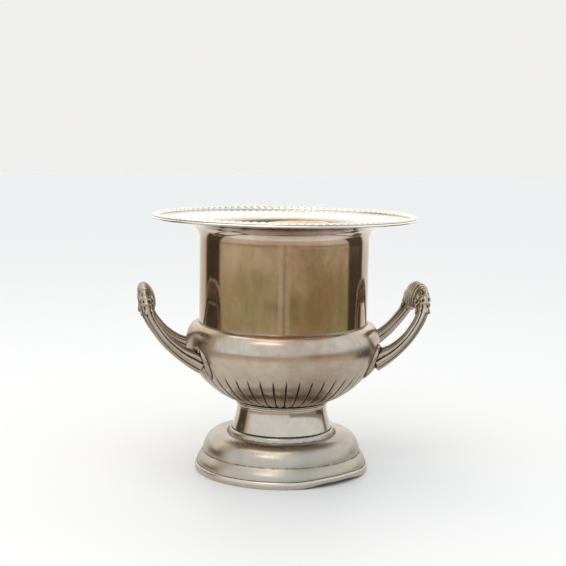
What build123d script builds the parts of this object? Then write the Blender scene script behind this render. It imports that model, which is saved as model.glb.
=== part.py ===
"""Urn-shaped champagne bucket in silver plate: a straight well with a flared, rolled rim, a lobed bowl,
a bolted-on pedestal foot and two cast loop handles.

Millimetres, +Z up. The origin is the centre of the ring that the foot stands on, and the handles lie along X.
"""

import os
from math import cos, hypot, radians, sin, sqrt

from build123d import *

# ---------------------------------------------------------------- driving dimensions
SHEET = 1.2  # spun brass sheet of every shell

# Well and rim
WELL_DIAMETER = 157.8  # outside of the straight wall
WELL_HEIGHT = 80.5  # straight wall, from the shoulder crease to the start of the flare
WELL_LAP = 7.0  # how far the wall goes down inside the bowl
RIM_DIAMETER = 248.0  # across the rolled edge
FLARE_RADIUS = 12.5  # where the wall turns out into the rim
FLARE_TURN = 74.0  # degrees from upright at the end of that turn
LIP_TURN = 84.0  # degrees from upright at the rolled edge
CORE_WIRE_DIAMETER = 2.2  # wire that the rim is rolled over
ROLL_WRAP = 268.0  # degrees that the sheet goes round the wire

# Gadroon border on the rim
BORDER_WIDTH = 6.0
BORDER_OVERHANG = 1.2  # how far it reaches out past the middle of the roll
BORDER_HEIGHT = 1.5
BORDER_LOBES = 112
BORDER_NOTCH_DEPTH = 0.6

# Bowl
SHOULDER_OVERHANG = 12.3  # how far the bowl stands out past the well
BOWL_HEIGHT = 73.6  # floor to shoulder crease
SHOULDER_HEIGHT = 18.6  # widest line to shoulder crease
BELLY_START_ANGLE = 15.5  # degrees above level, where the belly leaves the floor
BELLY_START_PULL = 26.0
BELLY_TOP_PULL = 21.0
LOBE_COUNT = 44
LOBE_REACH = 0.58  # share of the belly that the chased grooves run up
LOBE_GROOVE_WIDTH = 0.9
LOBE_GROOVE_DEPTH = 0.55
LOBE_GROOVE_RUN_OUT = 0.15  # how far out of the metal a groove's bottom ends
LOBE_PHASE = 1.8  # degrees from the handle line to the first groove
SHOULDER_SIDE_PULL = 0.5  # share of the shoulder's height
SHOULDER_TOP_PULL = 0.62  # share of the overhang

# Foot
FOOT_DIAMETER = 163.6  # across the edge band
NECK_DIAMETER = 84.4  # top of the foot
EDGE_HEIGHT = 6.6
EDGE_THICKNESS = 1.8
FLANGE_WIDTH = 7.4  # edge band to the crease below the dome
FLANGE_RISE = 11.4
DOME_RISE = 19.8
STEP_RISE = 1.3
STEP_WIDTH = 2.6
NECK_RISE = 22.9
NECK_FLARE = 8.8  # how far the neck spreads on its way down to the step
NECK_RING_HEIGHT = 4.0
NECK_RING_OVERHANG = 1.2
NECK_RING_WIDTH = 9.4
FLANGE_PULL = 0.55  # share of the flange's rise that starts upright
DOME_SIDE_PULL = 0.63  # share of the dome's rise
DOME_SIDE_LEAN = 0.01  # share of the dome's width
DOME_TOP_PULL = 0.6  # share of the dome's width
DOME_TOP_LIFT = 0.29  # share of the dome's rise, so that its crest stands over the step
STEP_PULL = 0.8  # share of the step's rise
NECK_LOW_SPREAD = 0.59  # share of the neck's flare
NECK_LOW_PULL = 0.3  # shares of the neck's rise
NECK_HIGH_PULL = 0.63
ROUNDING_SHARE = 0.3  # corner of the collar, in collar heights

# Bolt that holds the foot
STUD_DIAMETER = 8.0
STUD_CLEARANCE = 0.5  # radial, in the foot and the clamp plate
STUD_TAIL = 6.0  # thread showing below the nut
STUD_PLATE_DIAMETER = 40.0
STUD_PLATE_THICKNESS = 3.0
CLAMP_PLATE_DIAMETER = 46.0
CLAMP_PLATE_THICKNESS = 2.5
CLAMP_PLATE_CHAMFER = 1.0
SPRING_WASHER_WIDTH = 3.2
SPRING_WASHER_THICKNESS = 2.0
SPRING_WASHER_GAP = 1.6
NUT_ACROSS_FLATS = 13.0
NUT_HEIGHT = 6.5
NUT_CONE_FOOT = 0.62  # radii of the cone that chamfers the nut, in widths across its corners
NUT_CONE_TOP = 0.46

# Handles
LEG_SPREAD = 36.0  # half the distance between the two legs at the bowl
LEG_FOOT_DROP = 9.5  # leg foot centre, below the widest line of the bowl
HANDLE_REACH = 36.6  # crown centre line, past the widest line of the bowl
HANDLE_RISE = 58.0  # leg foot centre to the crown
LEG_DIAMETER = 10.8
CROWN_WIDTH = 36.0  # leaf crown, along the loop
CROWN_HEIGHT = 24.0
CROWN_THICKNESS = 13.5
CROWN_DROP = 5.5  # middle of the leaf, below the top of the loop
SECTION_LEAN = -0.35  # how far the sections of the loop lean out and down

# Joints
SOLDER_GAP = 0.15  # solder film round the well
PAD_THICKNESS = 0.3  # solder under a handle leg
FIT_GAP = 0.05  # metal parts that touch

# The leg of the loop: shares of the reach, of the rise and of the leg spread, then the share of the leg
# diameter, from inside the bowl's wall to just under the crown
LEG_SHAPE = [
    (-0.240, -0.080, 1.010, 1.90),
    (0.000, 0.000, 1.000, 1.75),
    (0.200, 0.060, 0.993, 1.50),
    (0.430, 0.160, 0.978, 1.18),
    (0.700, 0.350, 0.930, 1.00),
    (0.880, 0.550, 0.850, 0.98),
    (0.975, 0.730, 0.735, 1.02),
]
# The leaf crown between the leg and its middle: shares of half its width, of its drop, of its thickness and
# of its height
CROWN_SHAPE = [
    (1.0, 1.2, 0.62, 0.55),
    (0.5, 0.9, 0.95, 0.93),
]
# The edge band's round face: where it leaves the floor, in thicknesses, and its heights, in band heights
BAND_BASE_SHARE = 0.45
BAND_TOP_SHARE = 0.3
BAND_HEIGHTS = (0.1, 0.5, 0.85)

# ---------------------------------------------------------------- derived sizes
WELL_R = WELL_DIAMETER / 2
RIM_R = RIM_DIAMETER / 2
BOWL_R = WELL_R + SHOULDER_OVERHANG
FOOT_R = FOOT_DIAMETER / 2
NECK_R = NECK_DIAMETER / 2
FLOOR_R = NECK_R + NECK_RING_OVERHANG / 3
STUD_R = STUD_DIAMETER / 2
CORE_R = CORE_WIRE_DIAMETER / 2
ROLL_R = CORE_R + SHEET

Z_FLANGE = EDGE_HEIGHT + FLANGE_RISE
Z_DOME = Z_FLANGE + DOME_RISE
Z_STEP = Z_DOME + STEP_RISE
Z_FOOT_TOP = Z_STEP + NECK_RISE
Z_FLOOR = Z_FOOT_TOP + NECK_RING_HEIGHT
Z_CREASE = Z_FLOOR + BOWL_HEIGHT
Z_WIDEST = Z_CREASE - SHOULDER_HEIGHT
Z_FLARE = Z_CREASE + WELL_HEIGHT


# ---------------------------------------------------------------- helpers
def parallel(controls, gap):
    """Control points of the curve that runs gap to the left of a Bezier curve: each leg of the control
    polygon is shifted square to itself, and the shifted legs meet at the new corners."""
    shifted = []
    for (r0, z0), (r1, z1) in zip(controls, controls[1:]):
        length = hypot(r1 - r0, z1 - z0)
        dr, dz = -(z1 - z0) / length * gap, (r1 - r0) / length * gap
        shifted.append(((r0 + dr, z0 + dz), (r1 + dr, z1 + dz)))
    moved = [shifted[0][0]]
    for (a, b), (c, d) in zip(shifted, shifted[1:]):
        ux, uz, vx, vz = b[0] - a[0], b[1] - a[1], d[0] - c[0], d[1] - c[1]
        cross = ux * vz - uz * vx
        along = ((c[0] - a[0]) * vz - (c[1] - a[1]) * vx) / cross
        moved.append((a[0] + along * ux, a[1] + along * uz))
    moved.append(shifted[-1][1])
    return moved


def curve(controls):
    """One edge in the XZ plane: a line through two control points, or a Bezier curve through more."""
    points = [(r, 0, z) for r, z in controls]
    return Line(*points) if len(points) == 2 else Bezier(*points)


def chain(*pieces):
    """A closed face in the XZ plane from pieces of outline, each a list of control points. Where one
    piece ends away from the next one's start, a straight line joins them."""
    edges = []
    for piece, following in zip(pieces, pieces[1:] + pieces[:1]):
        edges.append(curve(piece))
        if hypot(piece[-1][0] - following[0][0], piece[-1][1] - following[0][1]) > 1e-6:
            edges.append(curve([piece[-1], following[0]]))
    return make_face(Wire(edges))


def spun(face):
    """The solid that a profile face makes when it turns once round Z."""
    return revolve(face, axis=Axis.Z, revolution_arc=360)


def ring(inner, outer, low, high):
    """A plain washer between two radii and two heights."""
    disc = Cylinder(outer, high - low, align=(Align.CENTER, Align.CENTER, Align.MIN))
    if inner > 0:
        disc -= Cylinder(inner, high - low, align=(Align.CENTER, Align.CENTER, Align.MIN))
    return Pos(0, 0, low) * disc


# ---------------------------------------------------------------- well and rim
def flare_geometry():
    """The underside of the flare: the end of its tight turn, the radius of its wide sweep, and the
    centre of the rolled edge."""
    turn, lip = radians(FLARE_TURN), radians(LIP_TURN)
    r_turn = WELL_R + FLARE_RADIUS * (1 - cos(turn))
    z_turn = Z_FLARE + FLARE_RADIUS * sin(turn)
    # the sheet's underside meets the core wire where the wire's own tangent has the lip's slope
    roll_r = RIM_R - ROLL_R
    r_lip = roll_r - CORE_R * cos(lip)
    sweep = (r_lip - r_turn) / (cos(turn) - cos(lip))
    z_lip = z_turn + sweep * (sin(lip) - sin(turn))
    return (r_turn, z_turn), sweep, (r_lip, z_lip), (roll_r, z_lip - CORE_R * sin(lip))


def on_arc(centre, radius, turn):
    """A point on a flare arc whose centre lies outside the metal, at a turn from upright in radians."""
    return centre[0] - radius * cos(turn), centre[1] + radius * sin(turn)


def flare_arc(centre, radius, start, end):
    """The flare arc between two turns, in degrees, as an edge in the XZ plane."""
    points = [on_arc(centre, radius, radians(t)) for t in (start, (start + end) / 2, end)]
    return ThreePointArc(*[(r, 0, z) for r, z in points])


def roll_arc(centre, radius):
    """The arc, about the core wire, that starts at the lip and goes out, down and back under it."""
    start = 180 - LIP_TURN
    angles = [radians(start - ROLL_WRAP * share) for share in (0, 0.5, 1)]
    return ThreePointArc(*[(centre[0] + radius * cos(a), 0, centre[1] + radius * sin(a)) for a in angles])


def make_body_shell():
    """Straight wall, flare and rolled edge, all one thickness of sheet."""
    _, sweep, lip_end, roll = flare_geometry()
    tight = (WELL_R + FLARE_RADIUS, Z_FLARE)
    wide = (lip_end[0] + sweep * cos(radians(LIP_TURN)), lip_end[1] - sweep * sin(radians(LIP_TURN)))
    low = Z_CREASE - WELL_LAP
    inner_r = WELL_R - SHEET
    under = [flare_arc(tight, FLARE_RADIUS, 0, FLARE_TURN), flare_arc(wide, sweep, FLARE_TURN, LIP_TURN)]
    over = [
        flare_arc(wide, sweep + SHEET, LIP_TURN, FLARE_TURN),
        flare_arc(tight, FLARE_RADIUS + SHEET, FLARE_TURN, 0),
    ]
    wrapped = [roll_arc(roll, radius) for radius in (CORE_R, ROLL_R)]
    outline = [
        Line((WELL_R, 0, low), (WELL_R, 0, Z_FLARE)),
        *under,
        wrapped[0],
        Line(wrapped[0] @ 1, wrapped[1] @ 1),
        wrapped[1],
        *over,
        Line((inner_r, 0, Z_FLARE), (inner_r, 0, low)),
        Line((inner_r, 0, low), (WELL_R, 0, low)),
    ]
    return spun(make_face(Wire(outline)))


def make_rim_core_wire():
    roll = flare_geometry()[3]
    return Pos(0, 0, roll[1]) * Torus(roll[0], CORE_R - FIT_GAP)


def make_rim_border():
    """A half-round strip soldered on the rolled edge, notched into lobes."""
    roll = flare_geometry()[3]
    slope = 90 - LIP_TURN
    edge = Pos(roll[0], 0, roll[1]) * Rot(0, -slope, 0) * Pos(0, 0, ROLL_R + FIT_GAP)
    inner = BORDER_OVERHANG - BORDER_WIDTH
    middle = (inner + BORDER_OVERHANG) / 2
    crown = ThreePointArc((inner, 0, 0), (middle, 0, BORDER_HEIGHT), (BORDER_OVERHANG, 0, 0))
    strip = spun(edge * make_face(Wire([crown, Line(crown @ 1, crown @ 0)])))
    side = BORDER_NOTCH_DEPTH * sqrt(2)
    notch = edge * Pos(middle, 0, BORDER_HEIGHT) * Rot(45, 0, 0) * Box(BORDER_WIDTH, side, side)
    return strip - [Rot(0, 0, 360 / BORDER_LOBES * k) * notch for k in range(BORDER_LOBES)]


# ---------------------------------------------------------------- bowl
def belly_curve():
    """Outside of the bowl from the edge of its floor to its widest line."""
    start = radians(BELLY_START_ANGLE)
    return [
        (FLOOR_R, Z_FLOOR),
        (FLOOR_R + BELLY_START_PULL * cos(start), Z_FLOOR + BELLY_START_PULL * sin(start)),
        (BOWL_R, Z_WIDEST - BELLY_TOP_PULL),
        (BOWL_R, Z_WIDEST),
    ]


def shoulder_curve():
    """Outside of the bowl from its widest line in to the crease round the well."""
    lip_r = WELL_R + SOLDER_GAP
    return [
        (BOWL_R, Z_WIDEST),
        (BOWL_R, Z_WIDEST + SHOULDER_HEIGHT * SHOULDER_SIDE_PULL),
        (lip_r + SHOULDER_OVERHANG * SHOULDER_TOP_PULL, Z_CREASE),
        (lip_r + SHEET, Z_CREASE),
    ]


def bowl_envelope(gap=0.0):
    """Solid of everything inside the bowl's outer surface, grown by gap."""
    belly, shoulder = parallel(belly_curve(), -gap), parallel(shoulder_curve(), -gap)
    low, high = belly[0][1], shoulder[-1][1]
    return spun(chain([(0, low), belly[0]], belly, shoulder, [(0, high), (0, low)]))


def groove_cutter():
    """A fin with a round bottom edge that follows the belly: deepest near the floor, and running out past
    the surface at the top of the lobes."""
    belly = curve(belly_curve())
    bottom = []
    for share, depth in ((0, LOBE_GROOVE_DEPTH), (0.5, LOBE_GROOVE_DEPTH), (1, -LOBE_GROOVE_RUN_OUT)):
        point, along = belly @ (LOBE_REACH * share), belly % (LOBE_REACH * share)
        bottom.append((point.X - depth * along.Z, 0, point.Z + depth * along.X))
    edge = ThreePointArc(*bottom)
    low = Z_FLOOR - 3 * SHEET
    outside = Polyline(edge @ 1, (BOWL_R, 0, low), (bottom[0][0], 0, low), edge @ 0)
    fin = make_face(Wire([edge, *outside.edges()]))
    return extrude(fin, amount=LOBE_GROOVE_WIDTH / 2, both=True)


def make_bowl_shell():
    """One shell from the floor over the shoulder, with a lip turned down against the well."""
    belly, shoulder = belly_curve(), shoulder_curve()
    lip_r, lip_low = WELL_R + SOLDER_GAP, Z_CREASE - WELL_LAP + SHEET
    in_floor, *in_belly = parallel([(0, Z_FLOOR)] + belly, SHEET)
    in_shoulder = parallel(shoulder, SHEET)
    in_lip = lip_r + SHEET
    face = chain(
        [(0, Z_FLOOR), belly[0]],
        belly,
        shoulder,
        [(lip_r, Z_CREASE), (lip_r, lip_low)],
        [(in_lip, lip_low), (in_lip, in_shoulder[-1][1])],
        in_shoulder[::-1],
        in_belly[::-1],
        [in_floor, (0, Z_FLOOR)],
    )
    shell = spun(face)
    fin = groove_cutter()
    pitch = 360 / LOBE_COUNT
    return shell - [Rot(0, 0, LOBE_PHASE + pitch * k) * fin for k in range(LOBE_COUNT)]


def make_seam_solder():
    """Solder film between the well and the bowl's turned-down lip."""
    low = Z_CREASE - WELL_LAP + SHEET
    return ring(WELL_R, WELL_R + SOLDER_GAP, low, Z_CREASE)


# ---------------------------------------------------------------- foot
def foot_curves():
    """Outside of the foot shell from the edge band up to the top of the neck."""
    skirt_r = FOOT_R - EDGE_THICKNESS
    crease_r = FOOT_R - FLANGE_WIDTH
    step_r = NECK_R + NECK_FLARE + STEP_WIDTH
    dome_width = crease_r - step_r
    flange = [(skirt_r, EDGE_HEIGHT), (skirt_r, EDGE_HEIGHT + FLANGE_RISE * FLANGE_PULL), (crease_r, Z_FLANGE)]
    dome = [
        (crease_r, Z_FLANGE),
        (crease_r - dome_width * DOME_SIDE_LEAN, Z_FLANGE + DOME_RISE * DOME_SIDE_PULL),
        (step_r + dome_width * DOME_TOP_PULL, Z_DOME + DOME_RISE * DOME_TOP_LIFT),
        (step_r, Z_DOME),
    ]
    step = [(step_r, Z_DOME), (step_r, Z_DOME + STEP_RISE * STEP_PULL), (step_r - STEP_WIDTH, Z_STEP)]
    neck = [
        (step_r - STEP_WIDTH, Z_STEP),
        (NECK_R + NECK_FLARE * NECK_LOW_SPREAD, Z_STEP + NECK_RISE * NECK_LOW_PULL),
        (NECK_R, Z_STEP + NECK_RISE * NECK_HIGH_PULL),
        (NECK_R, Z_FOOT_TOP),
    ]
    return flange, dome, step, neck


def make_foot_shell():
    """One spun shell: upright skirt, flange, dome, step and neck, closed by a disc with a bolt hole."""
    skirt_r = FOOT_R - EDGE_THICKNESS
    outer = foot_curves()
    flange_in, dome_in, _, neck_in = [parallel(c, SHEET) for c in outer]
    hole_r = STUD_R + STUD_CLEARANCE
    under_top = Z_FOOT_TOP - SHEET
    neck_in = neck_in[:-1] + [(neck_in[-1][0], under_top)]
    face = chain(
        [(skirt_r, 0), (skirt_r, EDGE_HEIGHT)],
        *outer,
        [(hole_r, Z_FOOT_TOP), (hole_r, under_top)],
        neck_in[::-1],
        dome_in[::-1],
        flange_in[::-1],
        [(skirt_r - SHEET, 0), (skirt_r, 0)],
    )
    return spun(face)


def make_foot_edge_band():
    """D-section wire soldered round the foot's skirt, flat underneath."""
    inner, outer = FOOT_R - EDGE_THICKNESS + FIT_GAP, FOOT_R
    base = outer - EDGE_THICKNESS * BAND_BASE_SHARE
    top = inner + EDGE_THICKNESS * BAND_TOP_SHARE
    low, middle, high = [EDGE_HEIGHT * share for share in BAND_HEIGHTS]
    face = chain(
        [(inner, 0), (base, 0)],
        [(base, 0), (outer, low), (outer, middle)],
        [(outer, middle), (outer, high), (top, EDGE_HEIGHT)],
        [(inner, EDGE_HEIGHT), (inner, 0)],
    )
    return spun(face)


def make_neck_ring():
    """Rounded collar between the foot and the bowl."""
    outer = NECK_R + NECK_RING_OVERHANG
    side = outer - NECK_RING_HEIGHT * ROUNDING_SHARE
    inner = outer - NECK_RING_WIDTH
    middle = Z_FOOT_TOP + NECK_RING_HEIGHT / 2
    face = chain(
        [(inner, Z_FOOT_TOP), (side, Z_FOOT_TOP)],
        [(side, Z_FOOT_TOP), (outer, Z_FOOT_TOP), (outer, middle)],
        [(outer, middle), (outer, Z_FLOOR), (side, Z_FLOOR)],
        [(inner, Z_FLOOR), (inner, Z_FOOT_TOP)],
    )
    return spun(face)


# ---------------------------------------------------------------- foot bolt
Z_CLAMP = Z_FOOT_TOP - SHEET
Z_SPRING = Z_CLAMP - CLAMP_PLATE_THICKNESS
Z_NUT = Z_SPRING - SPRING_WASHER_THICKNESS


def make_stud_plate():
    return ring(STUD_R + FIT_GAP, STUD_PLATE_DIAMETER / 2, Z_FLOOR - STUD_PLATE_THICKNESS, Z_FLOOR)


def make_foot_stud():
    return ring(0, STUD_R, Z_NUT - NUT_HEIGHT - STUD_TAIL, Z_FLOOR)


def make_clamp_plate():
    plate = ring(STUD_R + STUD_CLEARANCE, CLAMP_PLATE_DIAMETER / 2, Z_SPRING, Z_CLAMP)
    lower_rim = plate.edges().filter_by(GeomType.CIRCLE).group_by(Axis.Z)[0].sort_by(SortBy.RADIUS)[-1]
    return chamfer(lower_rim, CLAMP_PLATE_CHAMFER)


def make_spring_washer():
    inner = STUD_R + FIT_GAP
    washer = ring(inner, inner + SPRING_WASHER_WIDTH, Z_NUT, Z_SPRING)
    slot = Box(2 * SPRING_WASHER_WIDTH, SPRING_WASHER_GAP, 3 * SPRING_WASHER_THICKNESS)
    return washer - Pos(inner + SPRING_WASHER_WIDTH / 2, 0, Z_NUT) * slot


def make_foot_nut():
    across_corners = NUT_ACROSS_FLATS / cos(radians(30))
    prism = extrude(RegularPolygon(across_corners / 2, 6), NUT_HEIGHT)
    upright = (Align.CENTER, Align.CENTER, Align.MIN)
    cone = Cone(across_corners * NUT_CONE_FOOT, across_corners * NUT_CONE_TOP, NUT_HEIGHT, align=upright)
    upside_down = Pos(0, 0, NUT_HEIGHT) * Rot(180, 0, 0)
    nut = (prism & upside_down * cone) - Cylinder(STUD_R + FIT_GAP, 3 * NUT_HEIGHT)
    return Pos(0, 0, Z_NUT - NUT_HEIGHT) * nut


# ---------------------------------------------------------------- handles
def loop_sections():
    """Centre, thickness and width of each section of the loop, from the +Y leg over the crown to the
    -Y leg."""
    foot_x = sqrt(BOWL_R**2 - LEG_SPREAD**2) - 2 * SHEET
    foot_z = Z_WIDEST - LEG_FOOT_DROP
    reach = BOWL_R + HANDLE_REACH - foot_x
    leg = [
        (foot_x + a * reach, LEG_SPREAD * c, foot_z + b * HANDLE_RISE, LEG_DIAMETER * d, LEG_DIAMETER * d)
        for a, b, c, d in LEG_SHAPE
    ]
    top = foot_z + HANDLE_RISE
    crown_x = foot_x + reach
    crown = [
        (crown_x, CROWN_WIDTH / 2 * a, top - CROWN_DROP * b, CROWN_THICKNESS * c, CROWN_HEIGHT * d)
        for a, b, c, d in CROWN_SHAPE
    ]
    middle = (crown_x, 0, top - CROWN_DROP, CROWN_THICKNESS, CROWN_HEIGHT)
    one_side = leg + crown
    return one_side + [middle] + [(x, -y, z, t, h) for x, y, z, t, h in reversed(one_side)]


def make_raw_handle():
    """The whole casting before its leg feet are trimmed to the bowl: one loft round the loop, thickening
    into the leaf crown."""
    sections = loop_sections()
    ellipses = []
    for k, (x, y, z, thickness, height) in enumerate(sections):
        before, after = sections[max(k - 1, 0)], sections[min(k + 1, len(sections) - 1)]
        along = (Vector(*after[:3]) - Vector(*before[:3])).normalized()
        # the thin way of a section faces outward and down, square to the loop
        outward = Vector(1, 0, SECTION_LEAN)
        thin = (outward - along * outward.dot(along)).normalized()
        ellipses.append(Plane(origin=(x, y, z), x_dir=thin, z_dir=along) * Ellipse(thickness / 2, height / 2))
    return loft(ellipses)


def make_handle(raw):
    return raw - bowl_envelope(PAD_THICKNESS)


def make_handle_solder(raw):
    """The solder under both leg feet, as two thin saddles."""
    return (raw & bowl_envelope(PAD_THICKNESS)) - bowl_envelope()


# ---------------------------------------------------------------- write the parts
def main():
    os.makedirs("parts", exist_ok=True)
    raw = make_raw_handle()
    handle, pads = make_handle(raw), make_handle_solder(raw)
    half_turn = Rot(0, 0, 180)
    parts = {
        "body_shell": make_body_shell(),
        "rim_core_wire": make_rim_core_wire(),
        "rim_border": make_rim_border(),
        "bowl_shell": make_bowl_shell(),
        "seam_solder": make_seam_solder(),
        "stud_plate": make_stud_plate(),
        "foot_stud": make_foot_stud(),
        "neck_ring": make_neck_ring(),
        "foot_shell": make_foot_shell(),
        "foot_edge_band": make_foot_edge_band(),
        "clamp_plate": make_clamp_plate(),
        "spring_washer": make_spring_washer(),
        "foot_nut": make_foot_nut(),
        "handle_right": handle,
        "handle_left": half_turn * handle,
        "handle_right_solder": pads,
        "handle_left_solder": half_turn * pads,
    }
    for name, part in parts.items():
        export_step(part, f"parts/{name}.step")


main()
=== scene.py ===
from math import cos, pi, radians, sin, tau

import bmesh
import bpy
import numpy as np
from bpy.props import FloatProperty, FloatVectorProperty, IntProperty, PointerProperty
from mathutils import Matrix, Vector


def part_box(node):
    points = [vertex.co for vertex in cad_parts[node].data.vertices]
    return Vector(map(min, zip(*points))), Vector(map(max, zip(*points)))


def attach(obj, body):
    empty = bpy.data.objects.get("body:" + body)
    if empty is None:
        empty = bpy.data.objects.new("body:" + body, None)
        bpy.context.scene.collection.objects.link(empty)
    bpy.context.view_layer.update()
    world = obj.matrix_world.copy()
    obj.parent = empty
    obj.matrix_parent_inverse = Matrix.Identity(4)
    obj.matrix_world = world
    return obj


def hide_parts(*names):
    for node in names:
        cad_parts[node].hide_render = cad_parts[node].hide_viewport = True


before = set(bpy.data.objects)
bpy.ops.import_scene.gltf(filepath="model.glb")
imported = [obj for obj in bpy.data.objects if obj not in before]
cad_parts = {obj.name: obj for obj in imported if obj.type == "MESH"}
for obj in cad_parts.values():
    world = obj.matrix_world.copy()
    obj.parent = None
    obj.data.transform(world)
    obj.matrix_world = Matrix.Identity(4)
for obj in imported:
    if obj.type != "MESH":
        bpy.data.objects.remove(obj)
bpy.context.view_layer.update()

bl_info = {
    "name": "Champagne Bucket",
    "version": (1, 0, 0),
    "blender": (4, 5, 0),
    "location": "3D View > Sidebar > Bucket",
    "description": "Silver-plated champagne bucket with a lobed bowl, a pedestal foot and cast loop handles",
    "category": "Add Mesh",
}

MM = 0.001


# ---------------------------------------------------------------- sizes taken from the frame
def high(node):
    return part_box(node)[1]


def low(node):
    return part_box(node)[0]


SEAM_FILM = 0.15 * MM  # solder between well and bowl
WALL = 1.2 * MM  # sheet of every shell
RIM_R = high("body_shell").x
WELL_R = high("seam_solder").x - SEAM_FILM
WELL_LOW = low("body_shell").z
CREASE_Z = high("bowl_shell").z
BOWL_R = high("bowl_shell").x
FLOOR_Z = low("bowl_shell").z
ROLL_TOP = high("body_shell").z
RIM_TOP = high("rim_border").z
FOOT_TOP = high("foot_shell").z
BAND_R = high("foot_edge_band").x
BAND_TOP = high("foot_edge_band").z
SKIRT_R = high("foot_shell").x
COLLAR_R = high("neck_ring").x
COLLAR_TOP = high("neck_ring").z
HOLE_R = high("foot_stud").x + 0.5 * MM  # hole in the foot's top, with room round the stud

# Sizes of the looks that hang on those
NECK_R = COLLAR_R - 1.3 * MM
BOWL_WIDEST_Z = CREASE_Z - 18.6 * MM
FLARE_Z = ROLL_TOP - 22.5 * MM  # where the well's wall starts to open
FLARE_MIDDLE = (WELL_R + 22 * MM, FLARE_Z + 16.4 * MM)
BORDER_WIDTH = 6.0 * MM
FLANGE_CREASE = (SKIRT_R - 5.7 * MM, 17.8 * MM)  # radius and height, as in the next two
BEAD_FOOT = (50.4 * MM, 34.3 * MM)
BEAD_TOP = (47.0 * MM, 39.1 * MM)


# ---------------------------------------------------------------- properties
def metres(name, description, default):
    return FloatProperty(name=name, description=description, default=default, unit="LENGTH")


def bearing(name, description, default):
    return FloatProperty(name=name, description=description, default=default, subtype="ANGLE")


def swatch(name, description, default):
    return FloatVectorProperty(
        name=name, description=description, default=default, subtype="COLOR", size=3, min=0, max=1)


class BucketSizes(bpy.types.PropertyGroup):
    rim_lobes: IntProperty(
        name="Rim lobes", description="Lobes in the border on the rim", default=112, min=40)
    rim_lobe_depth: metres("Rim lobe depth", "Depth of the notches between rim lobes", 1.1 * MM)
    flutes: IntProperty(name="Bowl lobes", description="Lobes chased round the bowl", default=44, min=8)
    flute_depth: metres("Bowl lobe depth", "Depth of the grooves at the foot of the bowl", 1.5 * MM)
    flute_height: metres("Bowl lobe height", "Height of the grooves above the bowl's floor", 38 * MM)
    flute_turn: bearing("Bowl lobe turn", "Angle from the handle line to the first groove", radians(1.8))
    dent: metres("Foot dent", "How far the foot's edge is bent up in one place", 3.6 * MM)
    dent_turn: bearing("Foot dent direction", "Where the dent is, from the +X axis", radians(-58))
    dent_width: bearing("Foot dent width", "Half the angle that the dent covers", radians(27))
    leg_ridge: metres("Leg ridges", "Height of the ridges along the handle legs", 1.25 * MM)
    leaf_vein: metres("Leaf veins", "Depth of the veins in the handle leaves", 1.3 * MM)


class BucketFinish(bpy.types.PropertyGroup):
    silver: swatch("Silver", "Colour of the polished plate", (0.60, 0.52, 0.43))
    # Painted sheen: a paler plate colour that paints the bright room's reflection on the flare and the rim
    # border.
    painted_sheen: swatch("Painted sheen", "Paler plate colour painted where the plate mirrors the bright room", (0.83, 0.79, 0.73))
    tarnish: swatch("Tarnish", "Colour of the brown film on the plate", (0.40, 0.275, 0.185))
    bloom: swatch("Bloom", "Colour of the blue-grey bloom", (0.40, 0.40, 0.355))
    grime: swatch("Grime", "Greenish dullness of handled and satin places", (0.15, 0.14, 0.105))
    # This oxide colour also paints shade, where the mesh's oxide-and-shade values mark it under the bowl and
    # below the foot's bead.
    oxide: swatch("Oxide", "Colour of the oxide in the hollows", (0.035, 0.024, 0.015))
    brass: swatch("Brass", "Brass where the plate has worn through", (0.62, 0.42, 0.19))
    steel: swatch("Steel", "Zinc-plated steel of the nut", (0.42, 0.42, 0.41))
    wear: FloatProperty(name="Wear", description="Scratches and rubbed places", default=1.0, min=0, max=2)


class BucketStage(bpy.types.PropertyGroup):
    floor: swatch("Floor", "Colour of the floor", (0.78, 0.77, 0.76))
    lens: FloatProperty(name="Lens", description="Focal length on a 36 mm sensor, in mm", default=78.02)
    distance: metres("Distance", "Camera to the bucket's axis", 1.1414)
    height: metres("Camera height", "Above the floor", 0.3128)
    turn: bearing("Bucket turn", "How far the right handle goes back", radians(9.0))
    pitch: bearing("Camera pitch", "Looking down", 0.1194)
    roll: bearing("Camera roll", "Tilt of the picture", 0.0163)
    offset: metres("Sideways offset", "Bucket to the right of the view's middle", 0.7 * MM)


# ---------------------------------------------------------------- outlines
def straight(start, end, count=2):
    """Points along a line: start + (end - start) t."""
    share = np.linspace(0, 1, count)[:, None]
    return np.asarray(start) * (1 - share) + np.asarray(end) * share


def arc(centre, radius, start, end, count=16):
    """Points on a circle: centre + radius (cos a, sin a), a from start to end in degrees."""
    angle = np.radians(np.linspace(start, end, count))
    return np.asarray(centre) + radius * np.stack([np.cos(angle), np.sin(angle)], -1)


def bezier(controls, count=24):
    """Points on a Bezier curve, by repeated blending of its control points (de Casteljau)."""
    share = np.linspace(0, 1, count)[:, None, None]
    points = np.asarray(controls, float)[None]
    while points.shape[1] > 1:
        points = points[:, :-1] * (1 - share) + points[:, 1:] * share
    return points[:, 0]


def join(*runs):
    """One outline from several, without the points that repeat where they meet."""
    points = np.concatenate([np.asarray(r, float) for r in runs])
    step = np.linalg.norm(np.diff(points, axis=0), axis=1)
    return points[np.concatenate([[True], step > 1e-7])]


def left_normals(points):
    """Unit normals to the left of an outline, from the direction between each point's neighbours."""
    along = np.gradient(points, axis=0)
    along /= np.linalg.norm(along, axis=1, keepdims=True)
    return np.stack([-along[:, 1], along[:, 0]], -1)


def smooth(value):
    """3 v^2 - 2 v^3, with v held between 0 and 1."""
    v = np.clip(value, 0, 1)
    return v * v * (3 - 2 * v)


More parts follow.
